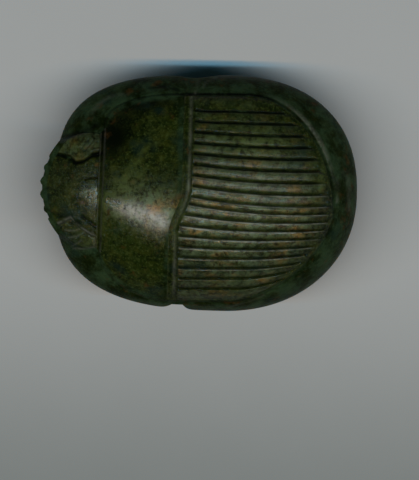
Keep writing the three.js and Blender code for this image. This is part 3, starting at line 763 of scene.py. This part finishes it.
def stone_tone_and_painted_light(x, y):
    """How much lighter or darker the stone is, with painted highlight, sheen and shade among the patches: a
    sum of soft oval patches.
    """
    tone_and_painted_light = np.zeros(x.shape)
    for (cx, cy), along, across, turn, amount in TONES_AND_PAINTED_LIGHT.values():
        dx, dy, angle = x - cx * LENGTH, y - cy * WIDTH, math.radians(turn)
        u = (dx * math.cos(angle) + dy * math.sin(angle)) / along
        w = (dy * math.cos(angle) - dx * math.sin(angle)) / across
        tone_and_painted_light = tone_and_painted_light + amount * np.exp(-(u**2) - w**2)
    return tone_and_painted_light


def stone_skin():
    """The whole closed skin. Returns its vertices, quads, triangles and the masks with a value for each
    vertex: dust with painted highlights, painted shade in carved lines and creases, the stone's tone with
    painted light patches, worn ridge tops with painted sheen, and the back's polish."""
    grid = None
    for block in (head_rows(), collar_rows(), chest_rows(), waist_rows(), wing_rows()):
        grid = block if grid is None else np.concatenate([grid, block[:, 1:]], axis=1)
    rows, columns = grid.shape[1:]
    index = np.arange(rows * columns).reshape(rows, columns)
    corners = [index[:-1, :-1], index[:-1, 1:], index[1:, 1:], index[1:, :-1]]
    quads = [np.stack(corners, axis=-1).reshape(-1, 4)]
    loop = np.concatenate([index[0], index[1:-1, -1], index[-1, ::-1], index[-2:0:-1, 0]])
    points = [grid.reshape(7, -1)]
    border = points[0][:, loop]
    inner, count = loop, rows * columns
    for ring in body_rings(*border[:3], columns):
        points.append(ring)
        outer = count + np.arange(len(loop))
        quads.append(np.stack([inner, outer, np.roll(outer, -1), np.roll(inner, -1)], axis=-1))
        inner, count = outer, count + len(loop)
    points.append(layer([OVAL["centre_x"] * LENGTH], 0.0, 0.0, polish=0.0))
    triangles = np.stack([np.full(len(loop), count), np.roll(inner, -1), inner], axis=-1)
    x, y, z, dust_and_highlight, wear_and_sheen, painted_shade, polish = np.concatenate(points, axis=1)
    z, dust_and_highlight, painted_shade = carve_strokes(x, y, z, dust_and_highlight, painted_shade)
    masks = {"dust_and_highlight": dust_and_highlight, "tone_and_painted_light": stone_tone_and_painted_light(x, y), "wear_and_sheen": wear_and_sheen, "painted_shade": painted_shade, "polish": polish}
    return np.stack([x, y, z], axis=1), np.concatenate(quads), triangles, masks


def fit_to_box(vertices):
    """Stretches the skin by a hair to the solid's own corners."""
    low, high = vertices.min(axis=0), vertices.max(axis=0)
    return LOW + (vertices - low) / (high - low) * (HIGH - LOW)


def make_piece(name, vertices, quads, triangles, masks):
    """A mesh object with smooth faces, in metres, and one attribute for each mask."""
    mesh = bpy.data.meshes.new(name)
    mesh.from_pydata(vertices * MM, [], quads.tolist() + triangles.tolist())
    mesh.shade_smooth()
    for mask, values in masks.items():
        mesh.attributes.new(mask, "FLOAT", "POINT").data.foreach_set("value", values.astype(np.float32))
    piece = bpy.data.objects.new(name, mesh)
    bpy.context.scene.collection.objects.link(piece)
    return piece


def add_node(tree, kind, settings=None, **inputs):
    """A shader node with its settings and its input values or links."""
    node = tree.nodes.new(kind)
    for key, value in (settings or {}).items():
        setattr(node, key, value)
    for key, value in inputs.items():
        socket = node.inputs[int(key[1:])] if key[0] == "_" else node.inputs[key.replace("_", " ")]
        if isinstance(value, bpy.types.NodeSocket):
            tree.links.new(value, socket)
        else:
            socket.default_value = value
    return node


def noise(tree, place, scale, detail=4, roughness=0.6, distortion=0):
    """The value of a noise texture, about 0 to 1, with features of 1 / scale metres."""
    node = add_node(tree, "ShaderNodeTexNoise", None, Vector=place, Scale=scale, Detail=detail,
                    Roughness=roughness, Distortion=distortion)
    return node.outputs["Fac"]


def ramp(tree, value, low, high):
    """0 below low and 1 above high, smooth between them."""
    node = add_node(tree, "ShaderNodeMapRange", {"interpolation_type": "SMOOTHSTEP"}, Value=value)
    node.inputs["From Min"].default_value = low
    node.inputs["From Max"].default_value = high
    return node.outputs["Result"]


def blend(tree, share, below, above):
    """Two colours blended by a share."""
    node = add_node(tree, "ShaderNodeMix", {"data_type": "RGBA"})
    for name, value in (("Factor", share), ("A", below), ("B", above)):
        socket = [candidate for candidate in node.inputs if candidate.name == name and candidate.enabled][-1]
        if isinstance(value, bpy.types.NodeSocket):
            tree.links.new(value, socket)
        else:
            socket.default_value = value if isinstance(value, float) else (*value, 1)
    return [output for output in node.outputs if output.enabled][0]


def product(tree, first, second):
    return add_node(tree, "ShaderNodeMath", {"operation": "MULTIPLY"}, _0=first, _1=second).outputs[0]


def between(tree, share, low, high):
    """The value a share of the way from low to high."""
    node = add_node(tree, "ShaderNodeMapRange", None, Value=share)
    node.inputs["To Min"].default_value = low
    node.inputs["To Max"].default_value = high
    return node.outputs["Result"]


def new_material(name):
    """An empty material. Returns it, its node tree and the place on the object."""
    material = bpy.data.materials.new(name)
    material.use_nodes = True
    tree = material.node_tree
    tree.nodes.clear()
    return material, tree, add_node(tree, "ShaderNodeTexCoord").outputs["Object"]


def stone_material():
    """Dark green stone: mottled in two sizes, paler or darker by the tone mask, which also holds patches of
    painted highlight, sheen and shade, duller green on the rim, with teal and brown spots. Worn places are
    grey green and tan, and so is the painted sheen about the lights' glint. Pits break the polish, painted
    shade darkens the carved lines and creases, and dust lies in the carved lines; its pale colour also
    paints highlights on the ridge crests, the chest's glint and the rim."""
    material, tree, place = new_material("polished_green_stone")
    dust_and_highlight, tone_and_painted_light, wear_and_sheen, painted_shade, polish = (
        add_node(tree, "ShaderNodeAttribute", {"attribute_name": mask}).outputs["Fac"]
        for mask in ("dust_and_highlight", "tone_and_painted_light", "wear_and_sheen", "painted_shade", "polish")
    )
    noises = {name: noise(tree, place, *values) for name, values in STONE_NOISES.items()}

    def spots(name, low, high, amount=1.0):
        """How much a noise shows: 0 at low, the amount at high."""
        return product(tree, ramp(tree, noises[name], low, high), amount)

    colour = blend(tree, spots("clouds", 0.35, 0.68), DEEP_GREEN, MOSS_GREEN)
    colour = blend(tree, spots("mottle", 0.42, 0.72), colour, OLIVE)
    colour = blend(tree, spots("specks", 0.5, 0.3, 0.75), colour, BLACK_GREEN)
    colour = blend(tree, spots("specks", 0.5, 0.75, 0.5), colour, PALE_GREEN)
    colour = blend(tree, spots("grain", 0.5, 0.72, 0.75), colour, PALE_GREEN)
    # The tone mask: stone tone, with painted highlight and sheen paler and painted shade darker
    colour = blend(tree, spots("specks", 0.35, 0.6, ramp(tree, tone_and_painted_light, 0, 1)), colour, PALE_GREEN)
    colour = blend(tree, ramp(tree, tone_and_painted_light, 0, -1), colour, BLACK_GREEN)

    on_rim = ramp(tree, spots("mottle", 1.1, 0.2, polish), 0.06, 0)
    rim_colour = blend(tree, spots("rim_clouds", 0.35, 0.65), DEEP_GREEN, RIM_GREEN)
    colour = blend(tree, product(tree, on_rim, 0.75), colour, rim_colour)
    colour = blend(tree, spots("teal_spots", 0.55, 0.75, 0.6), colour, TEAL)
    colour = blend(tree, spots("brown_spots", 0.6, 0.75, 0.6), colour, BROWN)

    # Worn colour: real wear, and painted sheen along the lights' glint
    wear_and_sheen_colour = blend(tree, spots("tan_spots", 0.48, 0.68), GREY_GREEN, TAN)
    wear_and_sheen_colour = blend(tree, spots("specks", 0.53, 0.36, 0.85), wear_and_sheen_colour, RUST)
    colour = blend(tree, spots("wear_and_sheen_spots", 0.32, 0.58, wear_and_sheen), colour, wear_and_sheen_colour)

    pits = spots("pits", 0.48, 0.62)
    colour = blend(tree, product(tree, product(tree, pits, polish), 0.95), colour, BLACK_GREEN)
    # Painted shade darkens the carved lines, grooves and creases
    colour = blend(tree, spots("shade_spots", 0.25, 0.5, product(tree, painted_shade, 0.95)), colour, SHADE_BLACK)
    # Pale dust in the carved lines, and painted highlights on ridge crests, the chest's glint and the rim
    colour = blend(tree, spots("dust_and_highlight_spots", 0.22, 0.6, product(tree, dust_and_highlight, 0.55)), colour, PALE_DUST_AND_HIGHLIGHT)

    clear = product(tree, product(tree, polish, POLISH["weight"]), ramp(tree, pits, 1.35, 0))
    bump = add_node(tree, "ShaderNodeBump", None, Strength=1.0, Distance=GRAIN_RELIEF, Height=noises["grain"])
    shader = add_node(
        tree, "ShaderNodeBsdfPrincipled", None, Base_Color=colour, Normal=bump.outputs["Normal"],
        Roughness=between(tree, noises["mottle"], *ROUGHNESS),
        Specular_IOR_Level=between(tree, polish, *SPECULAR),
        Coat_Weight=clear, Coat_Roughness=POLISH["roughness"], Coat_IOR=POLISH["ior"],
        Coat_Normal=bump.outputs["Normal"],
    )
    add_node(tree, "ShaderNodeOutputMaterial", None, Surface=shader.outputs["BSDF"])
    return material


def floor_material():
    """Pale paper with faint fibres, darker towards -Y by painted shade."""
    material, tree, place = new_material("pale_paper")
    across = add_node(tree, "ShaderNodeSeparateXYZ", None, Vector=place).outputs["Y"]
    fibres = noise(tree, place, 60, 3)
    far, near = blend(tree, fibres, *FLOOR_FAR), blend(tree, fibres, *FLOOR_NEAR)
    # Painted shade: the paper darker towards -Y
    colour = blend(tree, ramp(tree, across, *FLOOR_FADE), near, far)
    shader = add_node(tree, "ShaderNodeBsdfPrincipled", None, Base_Color=colour, Roughness=0.85)
    add_node(tree, "ShaderNodeOutputMaterial", None, Surface=shader.outputs["BSDF"])
    return material


def make_floor():
    """A plain floor just under the stone."""
    mesh = bpy.data.meshes.new("floor")
    corners = [(x * FLOOR_HALF, y * FLOOR_HALF, 0) for x, y in ((-1, -1), (1, -1), (1, 1), (-1, 1))]
    mesh.from_pydata(corners, [], [(0, 1, 2, 3)])
    floor = bpy.data.objects.new("floor", mesh)
    floor.data.materials.append(floor_material())
    bpy.context.scene.collection.objects.link(floor)


def add_light(name, tilt, power, colour):
    """A strip of light aimed at the stone, tilted from straight above towards -Y."""
    data = bpy.data.lights.new(name, "AREA")
    data.shape = "RECTANGLE"
    data.size, data.size_y = LIGHT_SIZE
    data.energy = power
    data.color = colour
    light = bpy.data.objects.new(name, data)
    turn = Matrix.Rotation(math.radians(tilt), 4, "X")
    light.matrix_world = turn @ Matrix.Translation((0, 0, LIGHT_DISTANCE))
    light.visible_camera = False
    bpy.context.scene.collection.objects.link(light)


def make_world():
    """A faint even light from all round."""
    world = bpy.data.worlds.new("studio")
    world.use_nodes = True
    background = world.node_tree.nodes["Background"]
    background.inputs["Color"].default_value = (*WORLD_COLOUR, 1)
    background.inputs["Strength"].default_value = WORLD_STRENGTH
    bpy.context.scene.world = world


def make_camera():
    """Straight above the stone, turned a little, far away behind a long lens."""
    data = bpy.data.cameras.new("camera")
    data.sensor_width = SENSOR_WIDTH
    data.lens = SENSOR_WIDTH * CAMERA_DISTANCE / (CAMERA_VIEW * MM)
    data.clip_end = 10
    camera = bpy.data.objects.new("camera", data)
    aim_x, aim_y = CAMERA_AIM
    place = Matrix.Translation((aim_x * MM, aim_y * MM, EDGE_HEIGHT * MM + CAMERA_DISTANCE))
    camera.matrix_world = place @ Matrix.Rotation(math.radians(CAMERA_TURN), 4, "Z")
    bpy.context.scene.collection.objects.link(camera)
    bpy.context.scene.camera = camera


skin, quads, triangles, masks = stone_skin()
stone = make_piece("carved_stone", fit_to_box(skin), quads, triangles, masks)
stone.data.materials.append(stone_material())
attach(stone, "root")
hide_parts("scarab")
make_floor()
make_world()
for light_name, light_values in LIGHTS.items():
    add_light(light_name, **light_values)
bpy.context.scene.view_settings.view_transform = "Standard"
make_camera()

bpy.context.view_layer.update()
